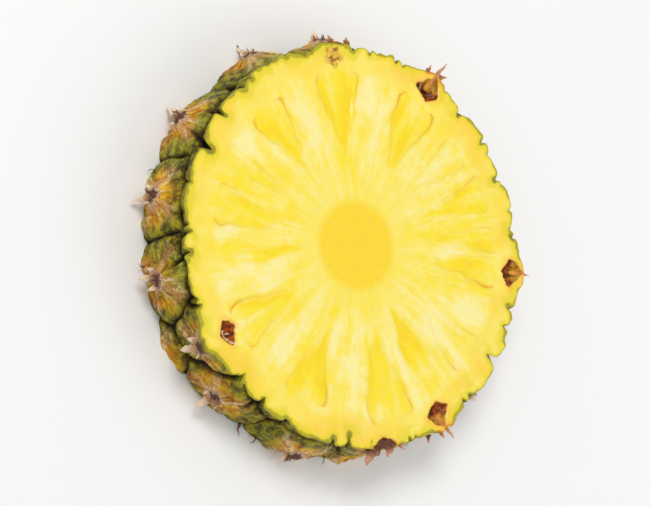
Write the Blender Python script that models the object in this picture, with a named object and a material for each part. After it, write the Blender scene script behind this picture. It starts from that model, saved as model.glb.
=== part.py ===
"""A thick round slice of fresh pineapple with its peel and core, lying flat on one cut face.

Metres, +Z up. The origin is on the fruit's axis, in the middle of the lower cut face. The crown end
of the fruit is down (-Z) and the base end is up, so each bract points down and outwards.
"""

import math

import bmesh
import bpy
import numpy as np

MM = 0.001

# Driving sizes, in millimetres and degrees
THICKNESS = 20.0
GROOVE_RADIUS = 54.6  # from the fruit's axis to the bottom of the grooves in the peel, at the top
CROWN_END_SWELL = 1.2  # how much wider the slice is at its lower face, towards the fruit's middle
FRUITLET_SPACING = 22.5  # between the centres of neighbouring fruitlets on the peel

# The fruitlets next to the upper cut: angle, height of the eye, and how far it lies inside the
# grooves of the peel
CUT_EYES = (
    (71, 20.0, 1.2),
    (136, 20.0, 1.9),
    (172, 13.5, 3.0),
    (16, 21.5, 2.3),
    (354, 19.5, -1.6),
    (287, 17.5, 4.4),
    (155, 25.4, 1.4),
)
# Fruitlets whose points stand round the lower edge of the peel: angle, height
EDGE_FRUITLETS = ((189, 4.0), (220, 5.5), (244, 6.5), (267, 8.0), (302, 9.0), (333, 6.0))
EYE_DEPTH = 3.0  # of every other eye

# The scales of one fruitlet, each half an ellipsoid that stands on the unrolled peel: place across
# and towards the crown, half-width, half-length and rise
SCALES = (
    (0.0, 1.5, 15.5, 15.0, 1.7),  # the body of the fruitlet, which meets its neighbours in grooves
    (0.0, -3.6, 7.6, 8.6, 2.7),  # the bract that covers its lower half
    (-7.6, 0.2, 4.9, 7.8, 2.1),  # the bract's two sides
    (7.6, 0.2, 4.9, 7.8, 2.1),
    (-4.2, 7.2, 5.6, 5.2, 1.9),  # two sepals at the crown end
    (4.2, 7.2, 5.6, 5.2, 1.9),
)
POINT_FOOT, POINT_RISE, POINT_CURVE = 1.6, 3.6, 1.5  # the bract's point, a cone with hollow sides
POINT_WIDTH, POINT_LENGTH = 8.0, 6.0  # half-sizes of the cone's foot

# The dried flower's cup under each eye, a four-sided funnel where a cut lays it open
CUP_WIDTH, CUP_LENGTH, CUP_HEIGHT = 4.3, 3.7, 6.0  # half-sizes round, out from and along the fruit
CUP_DEPTH = 4.6
LEAST_CUP = 0.45  # a cup that a cut only grazes, below this share of its width, stays shut
ABOVE_FACE = 1.0  # how far the cutter stands clear of the face

AROUND = 228  # points on one ring of the mesh
LEVELS = 9

# How the fruitlets are spread over a band that is taller than the slice
BAND_LOW, BAND_HEIGHT = -22.0, 64.0
GOLDEN_ANGLE = math.pi * (3 - math.sqrt(5))
FIRST_SEED_ANGLE = 0.958
SPREAD_STEPS = 400
SPREAD_REACH = 1.12  # fruitlets nearer than this many spacings push each other apart
SPREAD_SPEED = 0.1
CLEAR_OF_CUT = 9.0  # the unnamed fruitlets' eyes keep this far from the upper cut
FAR_AWAY = 1000.0


def shortest(difference, period):
    """The same difference on a closed band, taken the short way round."""
    return (difference + period / 2) % period - period / 2


def fruitlet_centres():
    """Angle, height and eye depth of every fruitlet on the band. The named ones stay where they
    are. The others start on a golden-angle spiral and push each other apart until even."""
    around = 2 * math.pi * GROOVE_RADIUS
    named = [(math.radians(angle) * GROOVE_RADIUS, height) for angle, height, _ in CUT_EYES]
    named += [(math.radians(angle) * GROOVE_RADIUS, height) for angle, height in EDGE_FRUITLETS]
    count = round(around * BAND_HEIGHT / (math.sqrt(0.75) * FRUITLET_SPACING**2))
    turn = np.arange(count)
    seeds = np.stack(
        [
            (turn * GOLDEN_ANGLE + FIRST_SEED_ANGLE) * GROOVE_RADIUS % around,
            BAND_LOW + (turn + 0.5) * BAND_HEIGHT / count,
        ],
        axis=1,
    )
    period = np.array([around, BAND_HEIGHT])
    for place in named:  # each named fruitlet takes the place of the nearest seed
        distance = np.linalg.norm(shortest(seeds - place, period), axis=1)
        seeds = np.delete(seeds, distance.argmin(), axis=0)
    places = np.concatenate([named, seeds])
    for _ in range(SPREAD_STEPS):
        apart = shortest(places[:, None] - places[None], period)
        distance = np.linalg.norm(apart, axis=2) + FAR_AWAY * np.eye(len(places))
        push = np.maximum(0, SPREAD_REACH * FRUITLET_SPACING - distance) / distance
        step = SPREAD_SPEED * (apart * push[..., None]).sum(1)
        off = places[:, 1] - THICKNESS
        side = np.where(off >= 0, 1, -1)
        step[:, 1] += SPREAD_SPEED * side * np.maximum(0, CLEAR_OF_CUT - np.abs(off))
        step[: len(named)] = 0
        places = places + step
        places[:, 0] %= around
        places[:, 1] = (places[:, 1] - BAND_LOW) % BAND_HEIGHT + BAND_LOW
    depths = np.full(len(places), EYE_DEPTH)
    depths[: len(CUT_EYES)] = [depth for _, _, depth in CUT_EYES]
    return places[:, 0] / GROOVE_RADIUS, places[:, 1], depths


def groove_radius(height):
    """Radius at the bottom of the grooves: a little wider towards the fruit's middle."""
    return GROOVE_RADIUS + CROWN_END_SWELL * (1 - height / THICKNESS)


def peel_radius(angle, height, centres):
    """Radius of the peel's outer surface: the highest of all the scales and of the bracts' points.
    A fruitlet whose eye is cut away at the rim has lost its point."""
    rise = np.zeros(np.broadcast(angle, height).shape)
    for centre_angle, centre_height, depth in zip(*centres):
        across = GROOVE_RADIUS * shortest(angle - centre_angle, 2 * math.pi)
        along = centre_height - height
        for scale_across, scale_along, half_width, half_length, top in SCALES:
            off = ((across - scale_across) / half_width) ** 2 + ((along - scale_along) / half_length) ** 2
            rise = np.maximum(rise, top * np.sqrt(np.maximum(0, 1 - off)))
        cone = np.maximum(0, 1 - np.hypot(across / POINT_WIDTH, along / POINT_LENGTH)) * (depth > 0)
        rise = np.maximum(rise, np.where(cone > 0, POINT_FOOT * cone**0.5 + POINT_RISE * cone**POINT_CURVE, 0))
    return groove_radius(height) + rise


def on_fruit(angle, out, across, height):
    """A point at a distance out from the fruit's axis and a distance across that direction."""
    x = out * math.cos(angle) - across * math.sin(angle)
    y = out * math.sin(angle) + across * math.cos(angle)
    return (x * MM, y * MM, height * MM)


def slice_mesh(centres):
    """The closed slice: rings of the peel's outline at even heights, with a flat cut face at
    each end."""
    mesh = bmesh.new()
    angles = np.arange(AROUND) * 2 * math.pi / AROUND
    rings = []
    for height in np.linspace(0, THICKNESS, LEVELS):
        radii = peel_radius(angles, height, centres)
        rings.append([mesh.verts.new(on_fruit(a, r, 0.0, height)) for a, r in zip(angles, radii)])
    for below, above in zip(rings, rings[1:]):
        for i in range(AROUND):
            j = (i + 1) % AROUND
            mesh.faces.new((below[i], below[j], above[j], above[i]))
    mesh.faces.new(rings[0][::-1])
    mesh.faces.new(rings[-1])
    return mesh


def cup_cutters(centres):
    """A four-sided funnel for each cup that a cut face opens, as wide as the cup is at the cut."""
    mesh = bmesh.new()
    for face_height, upwards in ((THICKNESS, 1), (0.0, -1)):
        for angle, height, depth in zip(*centres):
            share = math.sqrt(max(0.0, 1 - ((height - face_height) / CUP_HEIGHT) ** 2))
            if share < LEAST_CUP:
                continue
            middle = groove_radius(face_height) - depth
            grown = share + ABOVE_FACE / CUP_DEPTH
            mouth = face_height + upwards * ABOVE_FACE
            rim = []
            for out, across in ((1, 0), (0, 1), (-1, 0), (0, -1)):
                corner_out = middle + out * CUP_LENGTH * grown
                rim.append(mesh.verts.new(on_fruit(angle, corner_out, across * CUP_WIDTH * grown, mouth)))
            point = mesh.verts.new(on_fruit(angle, middle, 0.0, face_height - upwards * CUP_DEPTH * share))
            mesh.faces.new(rim[::upwards])
            for i in range(len(rim)):
                mesh.faces.new((rim[(i + 1) % len(rim)], rim[i], point)[::upwards])
    return mesh


def fresh_fruit():
    """A moist yellow finish for the whole solid."""
    made = bpy.data.materials.new("fresh_pineapple")
    made.use_nodes = True
    shader = made.node_tree.nodes["Principled BSDF"]
    shader.inputs["Base Color"].default_value = (0.98, 0.76, 0.13, 1)
    shader.inputs["Roughness"].default_value = 0.4
    shader.inputs["Metallic"].default_value = 0.0
    return made


def add_object(name, mesh):
    """A bmesh as a named object in the scene."""
    data = bpy.data.meshes.new(name)
    mesh.to_mesh(data)
    mesh.free()
    made = bpy.data.objects.new(name, data)
    bpy.context.scene.collection.objects.link(made)
    return made


def main():
    for old in list(bpy.data.objects):
        bpy.data.objects.remove(old)
    centres = fruitlet_centres()
    pineapple_slice = add_object("pineapple_slice", slice_mesh(centres))
    pineapple_slice.data.materials.append(fresh_fruit())

    cups = add_object("cup_cutters", cup_cutters(centres))
    cups.hide_render = True
    cups.display_type = "WIRE"
    opening = pineapple_slice.modifiers.new("open_the_cups", "BOOLEAN")
    opening.operation = "DIFFERENCE"
    opening.object = cups


main()
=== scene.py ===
"""A thick slice of fresh pineapple: its wet cut faces, its scaly peel and the dry bits on the peel.

Arrays are in millimetres until a mesh is made from them. Angles run anticlockwise from +X, seen
from above, and -Z is the crown end of the fruit.
"""

import bpy
import numpy as np
from mathutils import Matrix, Vector


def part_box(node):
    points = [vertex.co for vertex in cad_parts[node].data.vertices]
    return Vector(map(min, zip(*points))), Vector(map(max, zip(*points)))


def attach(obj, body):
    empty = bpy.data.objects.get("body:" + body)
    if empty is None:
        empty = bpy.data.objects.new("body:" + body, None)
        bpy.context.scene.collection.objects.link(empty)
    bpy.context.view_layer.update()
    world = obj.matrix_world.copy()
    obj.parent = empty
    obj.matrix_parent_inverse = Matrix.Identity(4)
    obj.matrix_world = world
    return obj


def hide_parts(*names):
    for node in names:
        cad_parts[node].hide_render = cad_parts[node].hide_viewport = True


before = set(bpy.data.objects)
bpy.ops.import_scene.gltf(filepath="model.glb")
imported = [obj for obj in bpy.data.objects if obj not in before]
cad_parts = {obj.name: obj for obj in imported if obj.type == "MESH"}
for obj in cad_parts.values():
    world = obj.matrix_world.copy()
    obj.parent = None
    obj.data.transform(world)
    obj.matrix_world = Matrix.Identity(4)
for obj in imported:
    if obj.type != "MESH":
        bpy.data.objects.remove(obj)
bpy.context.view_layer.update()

# ---------------------------------------------------------------- table top, lights and camera
# The slice lies on a plain white table top under two large soft lights. The camera looks down on
# it from the side where the peel shows, and is turned so that this side comes to the left.

scene = bpy.context.scene
slice_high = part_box("pineapple_slice")[1]
face_centre = Vector((0, 0, slice_high.z))


def link(made):
    """Puts an object in the scene."""
    scene.collection.objects.link(made)
    return made


def soft_light(name, place, size, watts, colour):
    """A square area light that faces the slice."""
    lamp = bpy.data.lights.new(name, "AREA")
    lamp.size = size
    lamp.energy = watts
    lamp.color = colour
    made = link(bpy.data.objects.new(name, lamp))
    made.location = place
    made.rotation_euler = (face_centre - Vector(place)).to_track_quat("-Z", "Y").to_euler()


CAMERA_RISE = np.radians(55.0)
CAMERA_TURN = np.radians(76.9)
CAMERA_AWAY = 0.92
CAMERA_AIM = Vector((0.0, -0.004, 0.010))

camera = link(bpy.data.objects.new("camera", bpy.data.cameras.new("camera")))
camera.data.lens = 182.0
camera.data.sensor_width = 36.0
back = Vector((0, -np.cos(CAMERA_RISE), np.sin(CAMERA_RISE)))
level = Vector((1, 0, 0))
up = back.cross(level)
right = level * np.cos(CAMERA_TURN) + up * np.sin(CAMERA_TURN)
pose = Matrix((right, back.cross(right), back)).transposed().to_4x4()
pose.translation = CAMERA_AIM + back * CAMERA_AWAY
camera.matrix_world = pose
scene.camera = camera

soft_light("key", (-0.52, -0.22, 0.95), 0.42, 4.9, (1.0, 0.99, 0.97))
soft_light("fill", (0.55, 0.45, 0.60), 0.70, 1.8, (1.0, 0.99, 0.98))

scene.world = bpy.data.worlds.new("white_room")
scene.world.use_nodes = True
background = scene.world.node_tree.nodes["Background"]
background.inputs["Color"].default_value = (1, 1, 1, 1)
background.inputs["Strength"].default_value = 0.58
scene.view_settings.view_transform = "Standard"

TABLE_HALF = 3.0
table_mesh = bpy.data.meshes.new("table_top")
table_corners = [(x * TABLE_HALF, y * TABLE_HALF, 0) for x, y in ((-1, -1), (1, -1), (1, 1), (-1, 1))]
table_mesh.from_pydata(table_corners, [], [(0, 1, 2, 3)])
table_top = link(bpy.data.objects.new("table_top", table_mesh))
white = bpy.data.materials.new("table_white")
white.use_nodes = True
white_shader = white.node_tree.nodes["Principled BSDF"]
white_shader.inputs["Base Color"].default_value = (0.93, 0.93, 0.93, 1)
white_shader.inputs["Roughness"].default_value = 0.9
white_shader.inputs["Specular IOR Level"].default_value = 0.1
table_mesh.materials.append(white)

# ---------------------------------------------------------------- how the fruitlets stand
# A pineapple is a hundred or so berries grown together, one to each eye of the peel. They stand in
# an even spiral. The eyes next to the upper cut and the points round the lower edge are named here.

TURN = 2 * np.pi
THICKNESS = slice_high.z * 1000
GROOVE_RADIUS = 54.6  # at the bottom of the grooves in the peel, at the upper cut
CROWN_END_SWELL = 1.2
SPACING = 22.5
CUT_EYES = (  # angle, height, and how far the eye lies inside the grooves of the peel
    (71, 20.0, 1.2),
    (136, 20.0, 1.9),
    (172, 13.5, 3.0),
    (16, 21.5, 2.3),
    (354, 19.5, -1.6),
    (287, 17.5, 4.4),
    (155, 25.4, 1.4),
)
EDGE_FRUITLETS = ((189, 4.0), (220, 5.5), (244, 6.5), (267, 8.0), (302, 9.0), (333, 6.0))
EYE_DEPTH = 3.0
BAND_LOW, BAND_HEIGHT = -22.0, 64.0
GOLDEN_ANGLE = np.pi * (3 - np.sqrt(5))
FIRST_SEED_ANGLE = 0.958
SPREAD_STEPS, SPREAD_SPEED = 400, 0.1
SPREAD_REACH = 1.12 * SPACING  # fruitlets nearer than this push each other apart
CLEAR_OF_CUT = 9.0  # the unnamed fruitlets' eyes keep this far from the upper cut
FAR_AWAY = 1000.0


def shortest(difference, period):
    """The same difference on a closed band, taken the short way round."""
    return (difference + period / 2) % period - period / 2


def smooth(low, high, value):
    """0 below low, 1 above high, and an S curve between."""
    share = np.clip((value - low) / (high - low), 0, 1)
    return share * share * (3 - 2 * share)


def fruitlet_centres():
    """Angle, height and eye depth of every fruitlet. The named ones stay put. The others start on a
    golden-angle spiral and push each other apart until even."""
    around = TURN * GROOVE_RADIUS
    named = [(np.radians(eye[0]) * GROOVE_RADIUS, eye[1]) for eye in CUT_EYES + EDGE_FRUITLETS]
    count = round(around * BAND_HEIGHT / (np.sqrt(0.75) * SPACING**2))
    turn = np.arange(count)
    seed_across = (turn * GOLDEN_ANGLE + FIRST_SEED_ANGLE) * GROOVE_RADIUS % around
    seed_height = BAND_LOW + (turn + 0.5) * BAND_HEIGHT / count
    seeds = np.stack([seed_across, seed_height], axis=1)
    period = np.array([around, BAND_HEIGHT])
    for place in named:
        nearest = np.linalg.norm(shortest(seeds - place, period), axis=1).argmin()
        seeds = np.delete(seeds, nearest, axis=0)
    places = np.concatenate([named, seeds])
    for _ in range(SPREAD_STEPS):
        apart = shortest(places[:, None] - places[None], period)
        distance = np.linalg.norm(apart, axis=2) + FAR_AWAY * np.eye(len(places))
        push = np.maximum(0, SPREAD_REACH - distance) / distance
        step = SPREAD_SPEED * (apart * push[..., None]).sum(1)
        off = places[:, 1] - THICKNESS
        side = np.where(off >= 0, 1, -1)
        step[:, 1] += SPREAD_SPEED * side * np.maximum(0, CLEAR_OF_CUT - np.abs(off))
        step[: len(named)] = 0
        places = places + step
        places[:, 0] %= around
        places[:, 1] = (places[:, 1] - BAND_LOW) % BAND_HEIGHT + BAND_LOW
    depths = np.full(len(places), EYE_DEPTH)
    depths[: len(CUT_EYES)] = [eye[2] for eye in CUT_EYES]
    return np.column_stack([places[:, 0] / GROOVE_RADIUS, places[:, 1], depths])


fruitlets = fruitlet_centres()

# ---------------------------------------------------------------- the shape of the peel
# Each fruitlet shows outside as a low pyramid. A leathery bract covers its base-end half and ends in
# a point over the eye, and sepals close it on the crown side. The scales meet in grooves, which the
# peel's finish darkens with painted shade.

SCALES = (  # place across and towards the crown, half-width, half-length, rise
    (0.0, 1.5, 15.5, 15.0, 1.7),
    (0.0, -3.6, 7.6, 8.6, 2.7),
    (-7.6, 0.2, 4.9, 7.8, 2.1),
    (7.6, 0.2, 4.9, 7.8, 2.1),
    (-4.2, 7.2, 5.6, 5.2, 1.9),
    (4.2, 7.2, 5.6, 5.2, 1.9),
)
POINT_WIDTH, POINT_LENGTH, POINT_RISE = 8.0, 6.0, 2.6  # the bract's point: half-sizes of its foot, rise
RIB_RISE, RIDGE_RISE, ROUGH_RISE = 0.14, 0.6, 0.75
DIMPLE_DEPTH, CREASE_DEPTH, SEAM_DEPTH = 0.8, 1.0, 0.15  # creases part fruitlets, seams their scales
DEEPEST = 2.4  # below the grooves' bottom, where a groove from the cut crosses one
GROOVE_FOOT, GROOVE_FULL = 11, 19  # the heights between which the grooves from the cut deepen
# Grooves that run down from the upper cut: angle, depth, half-width in millimetres
CUT_GROOVES = (
    (90, 1.2, 0.55), (100, 1.7, 0.6), (112, 1.7, 0.55), (123.5, 1.4, 0.6), (131, 0.7, 0.5),
    (150, 1.8, 0.6), (159.5, 1.1, 0.5), (180, 0.7, 0.5), (189, 0.9, 0.5), (203, 1.0, 0.5),
    (218, 2.4, 0.7), (229.5, 2.6, 0.8), (241, 0.8, 0.5), (255, 1.8, 0.6), (261, 2.4, 0.65),
    (276.5, 1.8, 0.6), (300.5, 2.2, 0.6), (310, 2.4, 0.7), (319, 0.8, 0.5), (336, 2.0, 0.5),
    (341.5, 2.0, 0.5), (3, 1.5, 0.55), (26, 1.9, 0.55), (43, 2.4, 0.7), (54, 1.6, 0.55),
    (60, 1.3, 0.5), (82, 1.8, 0.55),
)

lattice = np.random.default_rng(7).random((32, 32, 32))


def mottle(points, size):
    """Smooth noise from 0 to 1: random values on a cubic lattice of the given size, blended
    between its corners by an S curve."""
    place = points / size
    corner = np.floor(place).astype(int)
    share = place - corner
    share = share * share * (3 - 2 * share)
    total = 0
    for bits in range(8):
        step = np.array([bits & 1, bits >> 1 & 1, bits >> 2 & 1])
        weight = np.prod(np.where(step, share, 1 - share), axis=-1)
        x, y, z = np.moveaxis((corner + step) % len(lattice), -1, 0)
        total = total + weight * lattice[x, y, z]
    return total


def on_fruit(angle, radius, height):
    """Points from an angle round the fruit, a radius and a height."""
    return np.stack(np.broadcast_arrays(radius * np.cos(angle), radius * np.sin(angle), height), axis=-1)


def groove_radius(height):
    """Radius at the bottom of the grooves, a little wider towards the fruit's middle."""
    return GROOVE_RADIUS + CROWN_END_SWELL * (1 - height / THICKNESS)


def fruitlet_surface(angle, height):
    """The rise of the highest fruitlet over the grooves, and where on it each place lies. A
    fruitlet's scales, each half an ellipsoid, are blended by adding their sixth powers, and a cone
    stands at its bract's point. One whose eye is cut away at the rim has lost its point."""
    shape = np.broadcast(angle, height).shape
    first, second = np.zeros(shape), np.zeros(shape)
    across, along = np.full(shape, 20.0), np.full(shape, 20.0)
    owner, tone, cone_here, seam = np.zeros(shape), np.full(shape, 0.5), np.zeros(shape), np.zeros(shape)
    for number, (centre, middle, eye_depth) in enumerate(fruitlets):
        out = GROOVE_RADIUS * shortest(angle - centre, TURN)
        down = middle - height + 0 * angle
        cone = np.maximum(0, 1 - np.hypot(out / POINT_WIDTH, (down - 0.5) / POINT_LENGTH)) * (eye_depth > 0)
        cone_here = np.maximum(cone_here, cone)
        total, shades = np.zeros(shape), np.zeros(shape)
        best, after = np.zeros(shape), np.zeros(shape)
        for scale, (place, place_down, half_width, half_length, top) in enumerate(SCALES):
            off = ((out - place) / half_width) ** 2 + ((down - place_down) / half_length) ** 2
            rise = top * np.sqrt(np.maximum(0, 1 - off))
            total = total + rise**6
            shades = shades + rise**6 * lattice[number % 32, scale, 5]
            after = np.maximum(after, np.minimum(best, rise))
            best = np.maximum(best, rise)
        whole = np.where(total > 0, total ** (1 / 6) + POINT_RISE * cone**1.6, 0)
        wins = whole > first
        second = np.maximum(second, np.where(wins, first, whole))
        first = np.where(wins, whole, first)
        across = np.where(wins, out, across)
        along = np.where(wins, down, along)
        owner = np.where(wins, number, owner)
        tone = np.where(wins, shades / np.maximum(total, 1e-9), tone)
        seam = np.where(wins, np.exp(-(best - after) / 0.12), seam)
    return {
        "rise": first,
        "crease": np.exp(-(((first - second) / 0.30) ** 1.3)),
        "across": across,
        "along": along,
        "owner": owner,
        "tone": tone,
        "cone": cone_here,
        "seam": seam,
    }


def cut_grooves(angle, height):
    """Depth of the grooves that run down from the upper cut, each a bell curve across."""
    groove = np.zeros(np.broadcast(angle, height).shape)
    reach = smooth(GROOVE_FOOT, GROOVE_FULL, height + 0 * angle)
    for number, (place, depth, half_width) in enumerate(CUT_GROOVES):
        lean = 0.012 * np.sin(5.0 * number)
        off = GROOVE_RADIUS * shortest(angle - np.radians(place) - lean * (THICKNESS - height), TURN)
        groove = np.maximum(groove, depth * reach * np.exp(-((off / half_width) ** 2)))
    return groove


def peel(angle, height):
    """Radius of the peel, and what its finish follows: the fruitlets with fine ribs that fan out
    from the eye, ridges from it to the corners, a dimple under its point and roughness by noise,
    less the creases between fruitlets and the grooves from the cut."""
    here = fruitlet_surface(angle, height)
    away = np.hypot(here["across"], here["along"])
    fan = np.arctan2(here["across"], here["along"])
    draw = lattice[here["owner"].astype(int) % 32, 3, 3]
    ribs = np.cos(11 * fan + 5 * draw) * smooth(1.5, 4, away) * smooth(12, 6, away)
    corner = 1 - np.abs(np.sin(2 * fan + 0.9 * (draw - 0.5)))
    ridge = np.exp(-((corner / 0.13) ** 2)) * smooth(0.8, 2.2, away) * smooth(11.5, 7.5, away)
    dimple = np.exp(-((np.hypot(here["across"] / 1.9, (here["along"] - 1.6) / 1.7)) ** 2))
    points = on_fruit(angle, groove_radius(height), height)
    rough = mottle(points, 2.6) + 0.5 * mottle(points + 40, 1.1) + 0.3 * mottle(points + 90, 0.55) - 0.9
    groove = cut_grooves(angle, height)
    crease, seam = here["crease"], here["seam"]
    raised = here["rise"] + RIB_RISE * ribs + RIDGE_RISE * ridge + ROUGH_RISE * rough
    rise = raised - DIMPLE_DEPTH * dimple - CREASE_DEPTH * crease - SEAM_DEPTH * seam - groove
    return {
        **here,
        "radius": groove_radius(height) + np.maximum(rise, -DEEPEST),
        "ridge": ridge,
        "crease": np.maximum(np.maximum(crease, 0.42 * seam), np.clip(groove / 1.2, 0, 1)),
        "groove": groove,
    }


# ---------------------------------------------------------------- the cut faces
# The knife lays open the core, the seed chambers that point at it, and the eyes close to the cut.
# The chambers' walls show as fine dark yellow lines with the juicier flesh inside them.

FACE_RADIUS = 57.5
# Chambers on the upper face: middle angle, half-angle, inner and outer radius as shares of the
# face's, how strong the wall is on its anticlockwise and clockwise sides, how deep the yellow is
UPPER_CHAMBERS = (
    (171.8, 9.3, 0.43, 0.86, 0.8, 0.6, 0.9),
    (138.5, 8.8, 0.42, 0.85, 0.9, 1.0, 0.8),
    (116.0, 6.5, 0.46, 0.80, 0.3, 0.4, 0.1),
    (98.0, 7.0, 0.40, 0.84, 0.5, 0.2, 0.7),
    (81.0, 5.0, 0.45, 0.87, 0.4, 0.3, 0.6),
    (69.5, 6.0, 0.44, 0.84, 0.2, 1.0, 0.5),
    (38.0, 8.0, 0.50, 0.84, 0.3, 0.4, 0.1),
    (19.0, 8.0, 0.30, 0.68, 0.1, 0.1, 0.9),
    (358.0, 10.5, 0.42, 0.87, 0.5, 0.5, 0.5),
    (322.0, 9.5, 0.44, 0.83, 1.0, 0.5, 0.7),
    (288.0, 9.0, 0.42, 0.82, 0.5, 1.0, 0.7),
    (263.0, 5.0, 0.30, 0.62, 0.1, 0.1, 0.7),
    (244.5, 8.0, 0.42, 0.82, 0.6, 0.4, 0.6),
    (226.0, 3.5, 0.44, 0.70, 0.4, 0.4, 0.3),
    (205.0, 8.0, 0.44, 0.82, 0.8, 0.8, 0.8),
)
# Pale fibrous patches: angle, radius as a share, half-length along the radius, half-width across
UPPER_PALE = (
    (158, 0.78, 9, 3), (219, 0.76, 9, 4), (74, 0.57, 5, 2.5), (272, 0.62, 12, 4.5), (116, 0.62, 13, 4.5),
    (37, 0.60, 12, 5), (190, 0.62, 14, 4), (52, 0.74, 7, 4), (306, 0.60, 12, 3.5), (252, 0.70, 6, 3),
    (345, 0.62, 12, 2.5), (10, 0.62, 14, 2.5), (150, 0.55, 12, 2.5), (98, 0.52, 6, 2), (330, 0.5, 9, 2.5),
)
CORE_RADIUS = 12.4
CUP_WIDTH, CUP_LENGTH, CUP_HEIGHT = 4.3, 3.7, 6.0  # half-sizes round, out from and along the fruit
CUP_DEPTH = 4.6
CUP_SLOPE = 3.2  # millimetres from a cup's rim for each whole share of its size
LEAST_CUP = 0.45  # a cup that a cut only grazes, below this share of its width, stays shut
KITE_DEPTH = 3.5  # an eye nearer to the peel than this is a kite that runs out to the bract's point
STAR_ANGLE, STAR_RADIUS, STAR_SIZE = 172.4, 53.6, 4.2  # where the cut only grazes a flower's base


def star_mark(points):
    """1 in the middle of the grazed flower's base, fading out along five uneven arms."""
    turn = np.radians(STAR_ANGLE)
    off = points[..., :2] - STAR_RADIUS * np.array([np.cos(turn), np.sin(turn)])
    way = np.arctan2(off[..., 1], off[..., 0])
    reach = STAR_SIZE * (0.75 + 0.35 * np.abs(np.cos(2.5 * way)))
    return np.clip(1 - np.hypot(off[..., 0], off[..., 1]) / reach, 0, 1)


def lower_chambers():
    """Chambers for the lower face, spread round it with uneven sizes by fixed random draws."""
    draw = np.random.default_rng(11)
    count = 13
    middles = (np.arange(count) + 0.5 + draw.uniform(-0.18, 0.18, count)) * 360 / count
    return [
        (
            middle,
            draw.uniform(5.5, 9.5),
            draw.uniform(0.38, 0.48),
            draw.uniform(0.76, 0.87),
            *draw.uniform(0.2, 1.0, 3),
        )
        for middle in middles
    ]


def along_and_across(places, angle):
    """How far each place lies out from the core towards an angle, and how far across that way."""
    along = places[..., 0] * np.cos(angle) + places[..., 1] * np.sin(angle)
    across = places[..., 1] * np.cos(angle) - places[..., 0] * np.sin(angle)
    return along, across


def bent_by_growth(points):
    """Places on a face, pushed a little about by smooth noise."""
    broad = np.stack([mottle(points + 300, 9.0) - 0.5, mottle(points + 500, 9.0) - 0.5], axis=-1)
    fine = np.stack([mottle(points + 700, 3.0) - 0.5, mottle(points + 900, 3.0) - 0.5], axis=-1)
    return points[..., :2] + 2.6 * broad + 1.3 * fine


def chamber_marks(points, chambers):
    """How far inside a chamber's wall each point is, how strong that wall is there, and how deep
    the yellow is. A chamber is a wedge: its half-width grows nearly evenly from its inner end, and
    it closes in a round at the outer end. The distance to the wall is the gap across, made square
    to the wall's slope."""
    shape = points.shape[:-1]
    inside, wall, depth = np.full(shape, -4.0), np.zeros(shape), np.zeros(shape)
    bent = bent_by_growth(points)
    share = np.linspace(0, 1, 200)
    form = share**0.92 * np.sqrt(1 - share**22)
    for middle, half, inner, outer, left, right_side, deep in chambers:
        along, across = along_and_across(bent, np.radians(middle))
        length = (outer - inner) * FACE_RADIUS
        width = outer * FACE_RADIUS * np.sin(np.radians(half))
        place = (along - inner * FACE_RADIUS) / length
        half_width = width * np.interp(place, share, form, left=0, right=0)
        slope = np.interp(place, share, np.gradient(form, share)) * width / length
        distance = (half_width - np.abs(across)) / np.sqrt(1 + slope**2)
        beyond = np.maximum(-place, place - 1) * length
        distance = np.where(beyond > 0, -np.hypot(beyond, across), distance)
        wins = distance > inside
        side = np.where(across > 0, left, right_side)
        corner = smooth(0.45, 0.85, np.abs(across) / width)
        open_end = smooth(0.90, 0.97, place)
        strength = side * (0.25 + 0.95 * np.clip(place, 0, 1) ** 2) * (1 - open_end * (1 - 0.6 * corner))
        inside = np.where(wins, distance, inside)
        wall = np.where(wins, strength * smooth(-0.02, 0.2, place), wall)
        depth = np.where(wins, deep * (1 - 0.85 * smooth(0.68, 1.0, place)), depth)
    return inside, wall, depth


def pale_marks(points, patches):
    """How pale each point is: soft ellipses that lie along the radius."""
    bent = bent_by_growth(points)
    total = np.zeros(points.shape[:-1])
    for middle, share, half_length, half_width in patches:
        along, across = along_and_across(bent, np.radians(middle))
        along = along - share * FACE_RADIUS
        total = np.maximum(total, np.exp(-((along / half_length) ** 2) - (across / half_width) ** 2))
    return total


def lower_pale():
    """Pale patches of the lower face, between its chambers."""
    draw = np.random.default_rng(12)
    return [
        (middle + 14, draw.uniform(0.55, 0.75), draw.uniform(7, 13), draw.uniform(2.5, 4.5))
        for middle, *_ in lower_chambers()
    ]


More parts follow.
